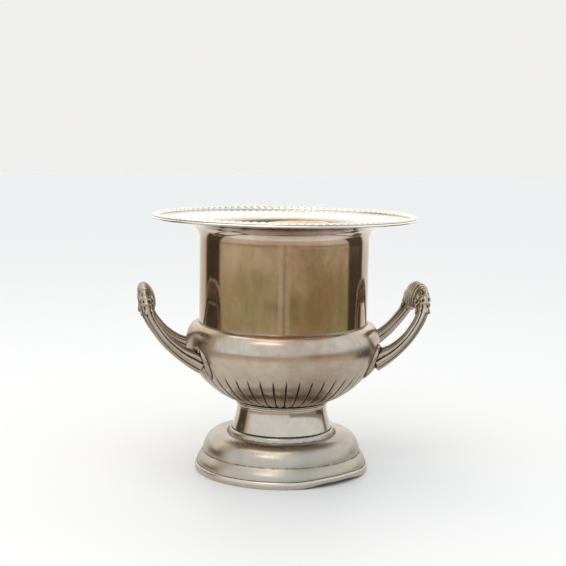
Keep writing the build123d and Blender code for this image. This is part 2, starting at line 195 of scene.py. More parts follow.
# ---------------------------------------------------------------- meshes
def skin(name, grid, wrap_u, wrap_v, attributes=None):
    """A mesh from a grid of points (rows, columns, 3): each cell is a quad, and a wrapped direction joins
    its last row or column to its first. Faces are turned to point outwards by the sign of the volume."""
    rows, columns = grid.shape[:2]
    index = np.arange(rows * columns).reshape(rows, columns)
    right = np.roll(index, -1, 1)
    down = np.roll(index, -1, 0)
    both = np.roll(right, -1, 0)
    cells = np.stack([index, right, both, down], -1)
    cells = cells[: rows if wrap_u else rows - 1, : columns if wrap_v else columns - 1].reshape(-1, 4)
    return mesh_piece(name, grid.reshape(-1, 3), cells, attributes)


def mesh_piece(name, points, quads, attributes=None):
    """An object from points and quads, closed where points coincide, with its faces turned outwards."""
    corner = points[quads]
    crossed = np.cross(corner[:, 2] - corner[:, 0], corner[:, 3] - corner[:, 1])
    if (corner.mean(1) * crossed).sum() < 0:
        quads = quads[:, ::-1]
    mesh = bpy.data.meshes.new(name)
    mesh.from_pydata(points.tolist(), [], quads.tolist())
    for key, values in (attributes or {}).items():
        layer = mesh.attributes.new(key, "FLOAT", "POINT")
        layer.data.foreach_set("value", np.asarray(values, np.float32).ravel())
    work = bmesh.new()
    work.from_mesh(mesh)
    bmesh.ops.remove_doubles(work, verts=work.verts, dist=1e-6)
    bmesh.ops.dissolve_degenerate(work, dist=1e-8, edges=work.edges)
    work.to_mesh(mesh)
    work.free()
    mesh.shade_smooth()
    obj = bpy.data.objects.new(name, mesh)
    bpy.context.scene.collection.objects.link(obj)
    return obj


def around(outline, angles, lift=None):
    """A grid of points: the outline (r, z) at each angle. lift(angle, r, z) gives what is added to r
    and z there."""
    r = np.broadcast_to(outline[:, 0], (len(angles), len(outline)))
    z = np.broadcast_to(outline[:, 1], r.shape)
    a = np.broadcast_to(angles[:, None], r.shape)
    if lift is not None:
        dr, dz = lift(a, r, z)
        r, z = r + dr, z + dz
    return np.stack([r * np.cos(a), r * np.sin(a), z], -1)


def turns(count):
    return np.arange(count) * tau / count


def finish_piece(obj, material, slot, *nodes):
    obj.data.materials.append(material)
    if nodes:
        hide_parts(*nodes)
    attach(obj, "root")


# ---------------------------------------------------------------- shader maths
class Value:
    """A shader socket that takes part in Python arithmetic: each operator adds one Math node."""

    def __init__(self, tree, socket):
        self.tree = tree
        self.socket = socket

    def _math(self, operation, *terms, clamp=False):
        return self.tree.node("ShaderNodeMath", {"operation": operation, "use_clamp": clamp}, *terms)

    def __add__(self, other):
        return self._math("ADD", self, other)

    __radd__ = __add__

    def __sub__(self, other):
        return self._math("SUBTRACT", self, other)

    def __rsub__(self, other):
        return self._math("SUBTRACT", other, self)

    def __mul__(self, other):
        return self._math("MULTIPLY", self, other)

    __rmul__ = __mul__

    def absolute(self):
        return self._math("ABSOLUTE", self)

    def held(self):
        """The value, held between 0 and 1."""
        return self._math("ADD", self, 0.0, clamp=True)

    def most(self, other):
        return self._math("MAXIMUM", self, other)

    def step(self, low_edge, high_edge):
        """0 below low_edge, 1 above high_edge and a smooth rise between them; falls if they are swapped."""
        settings = {"interpolation_type": "SMOOTHSTEP"}
        if low_edge < high_edge:
            return self.tree.node("ShaderNodeMapRange", settings, self, low_edge, high_edge, 0.0, 1.0)
        return self.tree.node("ShaderNodeMapRange", settings, self, high_edge, low_edge, 1.0, 0.0)


class Shading:
    """A node tree that is written as expressions."""

    def __init__(self, tree):
        self.tree = tree
        tree.nodes.clear()

    def node(self, kind, settings=None, *inputs, out=0, **named):
        made = self.tree.nodes.new(kind)
        for key, value in (settings or {}).items():
            setattr(made, key, value)
        live = [s for s in made.inputs if s.enabled]
        for socket, value in list(zip(live, inputs)) + [(self._named(made, k), v) for k, v in named.items()]:
            if isinstance(value, Value):
                self.tree.links.new(value.socket, socket)
            elif value is not None:
                socket.default_value = value
        outputs = [s for s in made.outputs if s.enabled]
        return Value(self, made.outputs[out] if isinstance(out, str) else outputs[out])

    @staticmethod
    def _named(made, key):
        wanted = key.replace("_", " ").lower()
        return next(s for s in made.inputs if s.enabled and s.name.lower() == wanted)

    def place(self, scale=(1, 1, 1), turn=(0, 0, 0), shift=(0, 0, 0)):
        """Places on the object, in metres, turned, scaled and shifted."""
        place = self.node("ShaderNodeTexCoord", out="Object")
        return self.node("ShaderNodeMapping", None, place, shift, turn, scale)

    def noise(self, scale, detail=3.0, rough=0.5, warp=0.0, place=None):
        where = place or self.place()
        return self.node(
            "ShaderNodeTexNoise", {"noise_dimensions": "3D"}, where, Scale=scale, Detail=detail,
            Roughness=rough, Distortion=warp)

    def cells(self, scale, place):
        """Distance to the nearest of many scattered points."""
        return self.node("ShaderNodeTexVoronoi", {"feature": "F1"}, place, Scale=scale)

    def stored(self, name):
        """A number that the mesh holds at each point."""
        return self.node("ShaderNodeAttribute", {"attribute_name": name}, out="Fac")

    def blend(self, share, first, second):
        """first where share is 0, second where it is 1; both are colours."""
        return self.node(
            "ShaderNodeMix", {"data_type": "RGBA"}, share, colour(first), colour(second))

    def bump(self, height, distance, strength):
        return self.node("ShaderNodeBump", None, Height=height, Distance=distance, Strength=strength)


def colour(value):
    return value if isinstance(value, Value) else (*value, 1.0)


def new_material(name):
    material = bpy.data.materials.new(name)
    material.use_nodes = True
    return material, Shading(material.node_tree)


def close_material(shading, **sockets):
    """The shader and output at the end of a material."""
    surface = shading.node("ShaderNodeBsdfPrincipled", None, **sockets)
    output = shading.tree.nodes.new("ShaderNodeOutputMaterial")
    shading.tree.links.new(surface.socket, output.inputs["Surface"])


# ---------------------------------------------------------------- finishes
def scratches(shade, scale, turn, thin=0.06):
    """Fine straight lines: where noise that is stretched some thirty times one way crosses its middle."""
    long_way = shade.place(scale=(1, 1, 0.03), turn=turn)
    lines = shade.noise(scale, 2.0, 0.6, place=long_way)
    return (lines - 0.5).absolute().step(thin * 0.25, 0.0)


def plated(name, film=0.35, bloom=0.2, gloss=0.16, scratch=1.0, grain=0.0, worn=0.0, oxide=1.0, stretch=1.0,
           painted_sheen=0.0, dull=0.0, polish=0.0):
    """Old silver plate: a warm film in drifting patches, a blue-grey bloom, grime, small pits, oxide in the
    hollows and painted shade where the mesh's oxide-and-shade values mark it, brass on rubbed edges and fine
    scratches. Painted sheen says how far the mesh's own painted sheen values clear the film and paint the
    plate paler, a painted reflection of the bright room; polish says how far its polish values make the plate
    shine."""
    finish = bpy.context.scene.bucket_finish
    material, shade = new_material(name)
    grimy = dull > 0
    hollow_spread = 0.6 * dull
    tall = shade.place(scale=(1, 1, stretch))
    patches = shade.noise(11, 4.0, 0.55, 0.5, tall).step(0.34, 0.62)
    fine_patches = shade.noise(70, 5.0, 0.62, 0.6, tall).step(0.38, 0.66)
    film_mask = (patches * 0.55 + fine_patches * 0.25 + 0.2) * film
    plate = finish.silver
    # Painted reflection: where the painted sheen values are high, the film is cleared and the plate painted
    # paler.
    if painted_sheen:
        bright = shade.stored("painted_sheen") * painted_sheen
        film_mask = film_mask * (1.0 - bright)
        plate = shade.blend(bright, plate, finish.painted_sheen)
    if polish:
        shine = shade.stored("polish") * polish
        film_mask = film_mask * (1.0 + shine)
        bloom = bloom * (1.0 - shine * 0.6)
        gloss = gloss * (1.0 - shine * 0.7)
        dull = dull * (1.0 - shine * 0.7)
    base = shade.blend(film_mask, plate, finish.tarnish)
    bloom_mask = shade.noise(22, 3.0, 0.6, 0.2, shade.place(shift=(3, 1, 2))).step(0.4, 0.68) * bloom
    base = shade.blend(bloom_mask, base, finish.bloom)
    if grimy:
        base = shade.blend((shade.noise(30, 4.0, 0.6, 0.3) * 1.2 + 0.4) * dull, base, finish.grime)
    specks = shade.cells(900, shade.place(shift=(0.3, 0.1, 0.2))).step(0.26, 0.12)
    speck_field = shade.noise(35, 2.0, 0.5, 0.0, shade.place(shift=(5, 5, 5))).step(0.55, 0.7)
    specks = specks * speck_field * (0.5 * finish.wear)
    base = shade.blend(specks, base, finish.oxide)
    # Oxide-and-shade values paint the oxide colour: real oxide in grooves, notches and recesses, and painted
    # shade in a band at the collar's top under the bowl and in a ring below the foot's bead.
    oxide_and_shade = shade.stored("oxide_and_shade")
    ragged = oxide_and_shade + (shade.noise(260, 3.0, 0.6) - 0.5) * 0.5
    oxide_and_shade_mask = ragged.step(0.22 - hollow_spread * 0.5, 0.8 - hollow_spread) * oxide
    base = shade.blend(oxide_and_shade_mask, base, finish.oxide)
    if worn:
        rub = (shade.stored("edge") + (shade.noise(180, 3.0, 0.6) - 0.5) * 0.7).step(0.55, 0.95) * worn
        base = shade.blend(rub, base, finish.brass)
    lines = scratches(shade, 190, (0.4, 1.2, 0.2)).most(scratches(shade, 260, (1.3, 0.5, 0.9), 0.05))
    lines = lines * shade.noise(18, 2.0).step(0.45, 0.62) * (scratch * finish.wear)
    smear = shade.noise(40, 5.0, 0.65, 1.0, shade.place(scale=(1, 1, 0.5)))
    rough = gloss + film_mask * 0.06 + bloom_mask * 0.16 + oxide_and_shade_mask * 0.35 + lines * 0.1
    rough = (rough + (smear - 0.4) * 0.10 + specks * 0.3).held()
    waves = shade.noise(26, 2.0, 0.45, 0.0, tall)
    height = waves * 0.5 - lines * 0.012 - specks * 0.03
    if grain:
        height = height + shade.noise(700, 4.0, 0.7) * (0.06 * grain)
    normal = shade.bump(height, 0.35 * MM, 0.6)
    close_material(shade, Base_Color=base, Metallic=1.0, Roughness=rough, Normal=normal)
    return material


def plain_metal(name, tint, rough, mark=0.3):
    """Unplated metal under the foot: a duller tint with oxide freckles and a brushed grain."""
    finish = bpy.context.scene.bucket_finish
    material, shade = new_material(name)
    freckles = shade.noise(240, 4.0, 0.65).step(0.5, 0.72) * mark
    base = shade.blend(freckles, tint, finish.oxide)
    grain = shade.noise(400, 2.0, 0.5, 0.0, shade.place(scale=(1, 0.06, 1)))
    close_material(
        shade, Base_Color=base, Metallic=1.0, Roughness=(rough + freckles * 0.3 + grain * 0.1).held(),
        Normal=shade.bump(grain - freckles * 0.5, 0.08 * MM, 0.5))
    return material


# ---------------------------------------------------------------- well, flare and rim
def flare_outline():
    """Outside of the well from its lower edge up to the roll, the roll itself, and the way back down inside:
    a straight line, a tight arc, a long shallow curve, a three-quarter round and their parallels."""
    roll_r = (ROLL_TOP - low("rim_core_wire").z - WALL) / 2
    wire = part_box("rim_core_wire")
    wire_z = (wire[0].z + wire[1].z) / 2
    centre = (RIM_R - roll_r, wire_z)
    roll_start = (centre[0] - 1.2 * roll_r, centre[1] + 0.1 * roll_r)
    under = join(
        straight((WELL_R, WELL_LOW), (WELL_R, FLARE_Z), 30),
        bezier([(WELL_R, FLARE_Z), (WELL_R + 0.1 * MM, FLARE_Z + 10.5 * MM),
                (WELL_R + 8 * MM, FLARE_Z + 14.6 * MM), FLARE_MIDDLE], 30),
        bezier([FLARE_MIDDLE, (WELL_R + 32 * MM, FLARE_Z + 17.7 * MM),
                (centre[0] - 5 * MM, centre[1] - 0.6 * MM), roll_start], 20),
    )
    inside = under[::-1] + left_normals(under)[::-1] * WALL
    roll = arc(centre, roll_r, -200, 90, 26)
    return join(under, roll, inside[inside[:, 0] < centre[0] - 0.5 * roll_r])


class BUCKET_OT_well(bpy.types.Operator):
    """Spun well with its flared, rolled rim"""

    bl_idname = "bucket.well"
    bl_label = "Well and rim"

    def execute(self, context):
        outline = flare_outline()
        angles = turns(288)

        def lift(a, r, z):
            """Hand-worn sheet: slow waves of a few hundredths of a millimetre, round and up the wall."""
            wave = np.sin(3 * a + 1.0) * np.sin(z * 55 + a) + 0.6 * np.sin(7 * a - 40 * z)
            return wave * 0.05 * MM, 0 * z

        grid = around(outline, angles, lift)
        top = np.arange(len(outline)) >= int(np.argmax(outline[:, 0]))
        # Painted sheen values, a painted reflection: 0.95 on the flare's inside, up to 0.4 on its underside
        # near the top.
        on_flare = 0.95 * smooth((outline[:, 0] - WELL_R) / (12 * MM))
        under_flare = 0.4 * smooth((outline[:, 1] - FLARE_Z + 3.5 * MM) / (10 * MM))
        painted_sheen = np.where(top, on_flare, under_flare)
        obj = skin("well", grid, True, True, {"painted_sheen": np.broadcast_to(painted_sheen, grid.shape[:2])})
        material = plated("well silver", film=1.22, gloss=0.02, bloom=0.06, stretch=0.6, painted_sheen=1.0)
        finish_piece(obj, material, "well_silver", "body_shell")
        return {"FINISHED"}


class BUCKET_OT_rim_border(bpy.types.Operator):
    """Lobed border on the rim"""

    bl_idname = "bucket.rim_border"
    bl_label = "Rim border"

    def execute(self, context):
        sizes = context.scene.bucket_sizes
        across = 15
        per_lobe = 12
        angles = turns(sizes.rim_lobes * per_lobe)
        half_width = BORDER_WIDTH / 2
        height = RIM_TOP - ROLL_TOP + 0.2 * MM
        inner_drop = 1.1 * MM
        thick = 0.6 * MM
        taper = 0.2 * MM
        share = np.linspace(-1, 1, across)
        crown = height * (1 - share**2) - inner_drop * np.clip(-share, 0, 1) ** 2
        middle = high("rim_border").x - half_width
        top = np.stack([middle + share * half_width, ROLL_TOP - 0.3 * MM + crown], -1)
        base = straight(top[-1] - (taper, thick), top[0] - (-taper, thick), 5)
        outline = join(top, base)
        phase = (angles * sizes.rim_lobes / tau) % 1.0
        groove = 1 - np.abs(np.sin(pi * phase)) ** 0.55
        on_top = np.concatenate([1 - np.abs(share) ** 3 * 0.6, np.zeros(len(outline) - across)])
        depth = groove[:, None] * on_top[None, :]

        def lift(a, r, z):
            """Each lobe is a round pad: the notch between two is deepest on the crown of the strip."""
            return 0 * r, -depth * sizes.rim_lobe_depth

        pit = groove[:, None] * np.concatenate([smooth((0.1 - share) / 0.9), np.zeros(len(outline) - across)])
        # The whole border gets painted sheen: its plate is painted paler, a painted reflection of the bright
        # room.
        obj = skin("rim_border", around(outline, angles, lift), True, True, {
            "oxide_and_shade": pit * 0.7, "painted_sheen": np.ones_like(pit)})
        finish_piece(obj, plated("border silver", film=0.1, gloss=0.22, bloom=0.1, oxide=0.45, painted_sheen=0.8),
                     "cast_silver", "rim_border")
        return {"FINISHED"}


# ---------------------------------------------------------------- bowl
def bowl_outline():
    """Outside of the bowl: flat floor, belly and shoulder, as two Bezier curves with a crease at the well."""
    floor_r = COLLAR_R - 0.8 * MM
    widest = (BOWL_R, BOWL_WIDEST_Z)
    return (
        bezier([(floor_r, FLOOR_Z), (floor_r + 25 * MM, FLOOR_Z + 7 * MM),
                (BOWL_R + 0.2 * MM, BOWL_WIDEST_Z - 21 * MM), widest], 90),
        bezier([widest, (BOWL_R - 0.4 * MM, BOWL_WIDEST_Z + 9.2 * MM),
                (WELL_R + 8.4 * MM, CREASE_Z + 0.1 * MM), (WELL_R + 0.6 * MM, CREASE_Z)], 40),
    )


class BUCKET_OT_bowl(bpy.types.Operator):
    """Lobed bowl with a rounded shoulder"""

    bl_idname = "bucket.bowl"
    bl_label = "Bowl"

    def execute(self, context):
        sizes = context.scene.bucket_sizes
        belly, shoulder = bowl_outline()
        lip = WELL_R + SEAM_FILM
        lip_depth = 12 * MM
        outside = join(straight((0, FLOOR_Z), belly[0], 8), belly, shoulder)
        inside = (outside + left_normals(outside) * WALL)[::-1]
        inside[-1, 0] = 0
        hem = join(shoulder[-1:], straight((lip, CREASE_Z - 0.3 * MM), (lip, WELL_LOW + WALL), 4),
                   [(lip + WALL, WELL_LOW + WALL)])
        keep = (inside[:, 0] > lip + WALL) | (inside[:, 1] < CREASE_Z - lip_depth)
        inside = inside[keep]
        outline = join(outside, hem, inside)
        angles = turns(sizes.flutes * 28)
        phase = ((angles - sizes.flute_turn) * sizes.flutes / tau) % 1.0
        off_line = np.minimum(phase, 1 - phase)
        groove = 0.65 * np.exp(-((off_line / 0.065) ** 2)) + 0.35 * (1 - np.sin(pi * phase))
        floor_r = belly[0, 0]
        rise = (outline[:, 1] - FLOOR_Z) / sizes.flute_height
        fade = np.clip(1 - rise, 0, 1) ** 0.45 * (outline[:, 0] > floor_r - 1.5 * MM)
        depth = groove[:, None] * fade[None, :] * sizes.flute_depth

        def lift(a, r, z):
            """Each groove is pressed in square to the sheet; between grooves the lobe is a rounded ridge."""
            outward = away_from_middle(outline)
            return -depth * outward[:, 0], depth * outward[:, 1]

        line = np.exp(-((off_line / 0.075) ** 2))
        oxide_and_shade = np.clip(1.3 * line[:, None] * smooth((1 - rise) * 2.2)[None, :], 0, 1)
        obj = skin("bowl", around(outline, angles, lift), True, False, {"oxide_and_shade": oxide_and_shade})
        material = plated("bowl silver", film=1.08, gloss=0.17, bloom=0.28, dull=0.08)
        finish_piece(obj, material, "bowl_silver", "bowl_shell")
        return {"FINISHED"}


def away_from_middle(outline):
    """Unit direction, outwards and down, from the bowl's middle at its widest line to each point."""
    away = np.stack([outline[:, 0], BOWL_WIDEST_Z - outline[:, 1]], -1)
    return away / np.maximum(np.linalg.norm(away, axis=1, keepdims=True), 1e-6)


# ---------------------------------------------------------------- collar and foot
class BUCKET_OT_collar(bpy.types.Operator):
    """Collar between bowl and foot"""

    bl_idname = "bucket.collar"
    bl_label = "Collar"

    def execute(self, context):
        tall = COLLAR_TOP - FOOT_TOP
        inner = COLLAR_R - 9.4 * MM
        outline = join(
            straight((inner, FOOT_TOP), (COLLAR_R - 1.6 * MM, FOOT_TOP), 3),
            arc((COLLAR_R - 1.1 * MM, FOOT_TOP + 0.28 * tall), 0.28 * tall, -90, 90, 12),
            arc((COLLAR_R - 1.2 * MM, FOOT_TOP + 0.76 * tall), 0.2 * tall, -90, 80, 10),
            straight((COLLAR_R - 2 * MM, COLLAR_TOP), (inner, COLLAR_TOP), 3),
            straight((inner, COLLAR_TOP), (inner, FOOT_TOP), 3),
        )
        r, z = outline.T
        # Oxide in the groove round the collar's middle and in its joint with the foot; painted shade in a
        # band at its top, under the bowl.
        dip = np.exp(-(((z - FOOT_TOP - 0.56 * tall) / (0.35 * MM)) ** 2)) * (r > inner + MM)
        shade_under_bowl = smooth(1.2 - (COLLAR_TOP - z) / (1.3 * MM))
        on_foot = smooth(1 - (z - FOOT_TOP) / (0.4 * MM))
        grid = around(outline, turns(192))
        oxide_and_shade = np.broadcast_to(np.clip(0.3 * dip + 0.5 * on_foot + shade_under_bowl, 0, 1), grid.shape[:2])
        obj = skin("collar", grid, True, True, {"oxide_and_shade": oxide_and_shade})
        finish_piece(obj, plated("collar silver", film=0.35, gloss=0.16), "cast_silver", "neck_ring")
        return {"FINISHED"}


def foot_dent(sizes):
    """The knock in the foot: lifts the edge and presses it in over a stretch of the rim, fading out with
    height as (1 - z / 20 mm)^1.5 and to the sides as a smooth hump."""

    def lift(a, r, z):
        off = (a - sizes.dent_turn + pi) % tau - pi
        hump = smooth(1.25 - np.abs(off) / sizes.dent_width)
        fade = np.clip(1 - z / (20 * MM), 0, 1) ** 1.5 * (r > 60 * MM)
        wave = np.sin(5 * a + 0.6) * np.sin(z * 90 + 2 * a) * 0.06 * MM
        return wave - hump * fade * sizes.dent * 0.25, hump * fade * sizes.dent

    return lift


def foot_outline():
    """Outside of the foot: skirt, flange, crease, dome, groove and bead, and a neck that narrows upwards."""
    return join(
        straight((SKIRT_R, 0), (SKIRT_R, BAND_TOP), 5),
        bezier([(SKIRT_R, BAND_TOP), (SKIRT_R - 0.1 * MM, BAND_TOP + 4.5 * MM),
                (FLANGE_CREASE[0] + 2.4 * MM, FLANGE_CREASE[1] - 2.6 * MM), FLANGE_CREASE], 20),
        bezier([FLANGE_CREASE, (FLANGE_CREASE[0] - 1.0 * MM, FLANGE_CREASE[1] + 11.0 * MM),
                (BEAD_FOOT[0] + 16.1 * MM, BEAD_FOOT[1] + 4.5 * MM), BEAD_FOOT], 44),
        bezier([BEAD_FOOT, (BEAD_FOOT[0] - 1.4 * MM, BEAD_FOOT[1] + 0.1 * MM),
                (BEAD_TOP[0] + 2.9 * MM, BEAD_TOP[1] - 0.7 * MM), BEAD_TOP], 14),
        bezier([BEAD_TOP, (NECK_R + 3.6 * MM, BEAD_TOP[1] + 5.4 * MM), (NECK_R + 0.3 * MM, 52.0 * MM),
                (NECK_R, FOOT_TOP - 0.4 * MM)], 36),
        straight((NECK_R - 0.4 * MM, FOOT_TOP), (HOLE_R, FOOT_TOP), 6),
    )


class BUCKET_OT_foot(bpy.types.Operator):
    """Spun pedestal foot and the band round its edge"""

    bl_idname = "bucket.foot"
    bl_label = "Foot"

    def execute(self, context):
        sizes = context.scene.bucket_sizes
        lift = foot_dent(sizes)
        outside = foot_outline()
        inside = (outside + left_normals(outside) * WALL)[::-1]
        inside[0] = (HOLE_R, FOOT_TOP - WALL)
        inside[-1, 1] = 0
        outline = join(outside, inside)
        grid = around(outline, turns(288), lift)
        r, z = outline.T
        out = np.arange(len(outline)) < len(outside)
        # A thin oxide line in the groove at the bead's top, and a broader ring of painted shade at the bead's
        # foot, where the dome runs under it.
        off_bead_top = np.hypot(r - BEAD_TOP[0], z - BEAD_TOP[1] - 0.1 * MM) / (0.6 * MM)
        off_bead_foot = np.hypot(r - BEAD_FOOT[0] - 0.4 * MM, z - BEAD_FOOT[1] - 0.1 * MM) / (1.6 * MM)
        lines = 0.8 * np.exp(-(off_bead_top**2)) + 0.45 * np.exp(-(off_bead_foot**2))
        crease = 0.4 * np.exp(-(((z - FLANGE_CREASE[1]) / (0.9 * MM)) ** 2))
        band = 0.6 * smooth(1 - (z - BAND_TOP) / (0.8 * MM))
        # The shell's inside is darkened evenly with the oxide colour.
        inside_darkening = 0.35
        oxide_and_shade = np.where(out, lines + crease + band, inside_darkening)
        polish = smooth((z - BEAD_TOP[1] + 0.1 * MM) / (2 * MM)) * out
        shell = skin("foot", grid, True, True, {
            "oxide_and_shade": np.broadcast_to(oxide_and_shade, grid.shape[:2]),
            "polish": np.broadcast_to(polish, grid.shape[:2])})
        material = plated("foot silver", film=0.35, gloss=0.24, bloom=0.5, scratch=1.6, grain=1.0, dull=0.34,
                          polish=1.0)
        finish_piece(shell, material, "foot_silver", "foot_shell")

        inner = SKIRT_R + 0.05 * MM
        profile = join(
            straight((inner, 0), (BAND_R - 1.0 * MM, 0), 3),
            bezier([(BAND_R - 1.0 * MM, 0), (BAND_R, 0.4 * MM), (BAND_R, 3.2 * MM)], 10),
            bezier([(BAND_R, 3.2 * MM), (BAND_R, 5.4 * MM), (BAND_R - 1.2 * MM, BAND_TOP)], 12),
            straight((inner, BAND_TOP - 0.1 * MM), (inner, 0), 3),
        )
        grid = around(profile, turns(288), lift)
        edge = np.clip(1 - profile[:, 1] / (2.4 * MM), 0, 1)
        ring = skin("foot_edge_band", grid, True, True, {
            "edge": np.broadcast_to(edge, grid.shape[:2]), "oxide_and_shade": np.zeros(grid.shape[:2])})
        material = plated("band silver", film=0.2, gloss=0.22, bloom=0.3, scratch=1.8, worn=0.35, dull=0.06)
        finish_piece(ring, material, "foot_silver", "foot_edge_band")
        return {"FINISHED"}


class BUCKET_OT_fixings(bpy.types.Operator):
    """Finishes of the stud, nut, washers, wire and solder"""

    bl_idname = "bucket.fixings"
    bl_label = "Fixings"

    def execute(self, context):
        finish = context.scene.bucket_finish
        brass = plain_metal("bare brass", finish.brass, 0.3)
        steel = plain_metal("zinc-plated steel", finish.steel, 0.32)
        solder = plain_metal("soft solder", finish.bloom, 0.45, 0.5)
        given = {
            "stud_plate": brass, "foot_stud": brass, "clamp_plate": brass, "rim_core_wire": brass,
            "spring_washer": steel, "foot_nut": steel,
            "seam_solder": solder, "handle_right_solder": solder, "handle_left_solder": solder,
        }
        for node, material in given.items():
            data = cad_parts[node].data
            data.materials.clear()
            data.materials.append(material)
        return {"FINISHED"}


# ---------------------------------------------------------------- handles
# One half of the loop's centre line, from inside a leg's foot to the middle of the crown: x, y, z in mm
LOOP_ROUTE = [
    (79, 37.3, 107), (88, 37, 111.5), (99, 36.5, 117.5), (111, 34.5, 127.5), (121, 31.5, 140),
    (126.8, 27.5, 150.5), (128.4, 21.8, 159.8), (128.2, 12, 164.2), (128, 0, 164.6),
]
# Thickness and width of the section at those points, in mm
LOOP_SECTION = [
    (17.5, 21), (16, 19.5), (12.6, 14.6), (10.8, 11.4), (10.4, 10.8), (11, 12.4), (12.4, 17.5), (13.8, 23),
    (14.2, 23.4),
]
LOOP_OUTWARD = (1, 0, -0.35)  # the thin way of the section, before it is squared to the route
LEAF_PETALS = 6  # pointed lobes round each leg, where the leaf ends
FRILL_PETALS = 7  # lobes along the crown's lower edge
CROWN_REACH = 21  # half the length of the crown's pleats, along the loop, in mm
PLEAT_PITCH = 5.8
BEADS = (23.0, 27.0)  # rings at the ends of the crown, from its middle along the loop, in mm
BEAD_WIDTH = 1.3


def through(points, count):
    """A smooth curve through points (Catmull-Rom): each span is the cubic that meets its neighbours with
    half of their difference as slope."""
    p = np.asarray(points, float)
    p = np.concatenate([2 * p[:1] - p[1:2], p, 2 * p[-1:] - p[-2:-1]])
    at = np.linspace(0, len(points) - 1, count)
    k = np.minimum(at.astype(int), len(points) - 2)
    t = (at - k)[:, None]
    a, b, c, d = p[k], p[k + 1], p[k + 2], p[k + 3]
    return 0.5 * (2 * b + (c - a) * t + (2 * a - 5 * b + 4 * c - d) * t**2 + (3 * b - a - 3 * c + d) * t**3)


def path_frames(route, outward):
    """Direction of travel, the thin way of the section (outward, square to the travel) and the wide way."""
    along = np.gradient(route, axis=0)
    along /= np.linalg.norm(along, axis=1, keepdims=True)
    thin = outward - along * (along @ np.asarray(outward))[:, None]
    thin /= np.linalg.norm(thin, axis=1, keepdims=True)
    return along, thin, np.cross(along, thin)


def tube(route, outward, thickness, width, shape):
    """A tube along a route: half the thickness times cos and half the width times sin of the section angle,
    times shape(share along, angle). Its ends are closed to a point."""
    _, thin, wide = path_frames(route, outward)
    angle = turns(96)
    along = np.linspace(0, 1, len(route))
    size = shape(along[:, None], angle[None, :])
    x = (thickness[:, None] / 2 * np.cos(angle) * size)[..., None] * thin[:, None]
    y = (width[:, None] / 2 * np.sin(angle) * size)[..., None] * wide[:, None]
    grid = route[:, None] + x + y
    tips = [np.repeat(route[k][None, None], len(angle), 1) for k in (0, -1)]
    return np.concatenate([tips[0], grid, tips[1]])


def blob(centre, axes, size, ridges=0, ridge=0.0):
    """An ellipsoid with its three half sizes along the rows of axes, with meridian ridges like a shell."""
    u = np.linspace(0, pi, 13)[:, None]
    v = turns(20)[None, :]
    swell = 1 + ridge * np.cos(ridges * v) * np.sin(u)
    local = np.stack([np.cos(u) + 0 * v, np.sin(u) * np.cos(v) * swell, np.sin(u) * np.sin(v) * swell], -1)
    return np.asarray(centre) + (local * np.asarray(size)) @ np.asarray(axes)


def loop_tube(ridge, vein):
    """The loop in one piece: legs with rounded ribs along them that deepen towards their feet, two rings at
    each end of the crown, and upright pleats round the crown that fan out towards a frilled lower edge."""
    half = np.array(LOOP_ROUTE, float) * MM
    count = 420
    route = through(np.concatenate([half, half[-2::-1] * (1, -1, 1)]), count)
    section = np.array(LOOP_SECTION, float) * MM
    section = through(np.concatenate([section, section[-2::-1]]), count)
    length = np.concatenate([[0], np.cumsum(np.linalg.norm(np.diff(route, axis=0), axis=1))])
    from_middle = (length - length[-1] / 2)[:, None] / MM

    def shape(along, angle):
        low_end = np.abs(2 * along - 1)
        far = np.abs(from_middle)
        crown = smooth((CROWN_REACH - far) / 4)
        rib = np.abs(np.cos(3.5 * (angle + 0.5 * low_end))) ** 0.6
        lower = -np.sin(angle)
        pleat = np.abs(np.sin(pi * from_middle * (1 - 0.12 * lower) / PLEAT_PITCH)) ** 0.6
        frill = smooth((lower - 0.35) / 0.5) * (pleat - 0.35) * 0.14
        bead = sum(np.exp(-(((far - at) / BEAD_WIDTH) ** 2)) for at in BEADS)
        ribs = ridge / (5.4 * MM) * (rib - 0.6) * (0.65 + 0.5 * low_end**3) * (1 - 0.7 * bead)
        return 1 + ribs * (1 - crown) + (vein / (7 * MM) * (pleat - 0.7) + frill) * crown + 0.15 * bead

    return tube(route, LOOP_OUTWARD, section[:, 0], section[:, 1], shape), route


def petals(route, size):
    """Pointed lobes where the leaf ends on each leg, and a frill along the crown's outer lower edge."""
    along, thin, wide = path_frames(route, LOOP_OUTWARD)
    length = np.concatenate([[0], np.cumsum(np.linalg.norm(np.diff(route, axis=0), axis=1))])
    made = []
    for side in (-1, 1):
        at = int(np.argmin(np.abs(length - length[-1] / 2 - side * (BEADS[1] + 3.2) * MM)))
        down = along[at] * side
        for k in range(LEAF_PETALS):
            angle = tau * k / LEAF_PETALS + 0.3
            out = thin[at] * cos(angle) + wide[at] * sin(angle)
            centre = route[at] + out * 5.3 * MM + down * (k % 2) * 1.2 * MM
            lean = down * 0.95 + out * 0.3
            cross = np.cross(lean, out)
            cross /= np.linalg.norm(cross)
            made.append(blob(centre, [lean, cross, np.cross(lean, cross)],
                             (size * 1.3, size * 0.62, size * 0.42), 3, 0.1))
    half_count = FRILL_PETALS // 2
    for k in range(FRILL_PETALS):
        y = (k - half_count) * 5.2 * MM
        fall = abs(k - half_count) / half_count
        centre = (133.6 * MM - 1.6 * MM * fall**2, y, (154.0 + 0.8 * fall) * MM)
        made.append(blob(centre, [(0.35, 0, -0.94), (0, 1, 0), (0.94, 0, 0.35)],
                         (size * 1.25, size * 0.74, size * 0.5), 3, 0.12))
    return made


def bowl_radius(z):
    """Outside radius of the bowl at a height, read off its outline."""
    belly, shoulder = bowl_outline()
    outline = join(belly, shoulder)
    return np.interp(z, outline[:, 1], outline[:, 0])


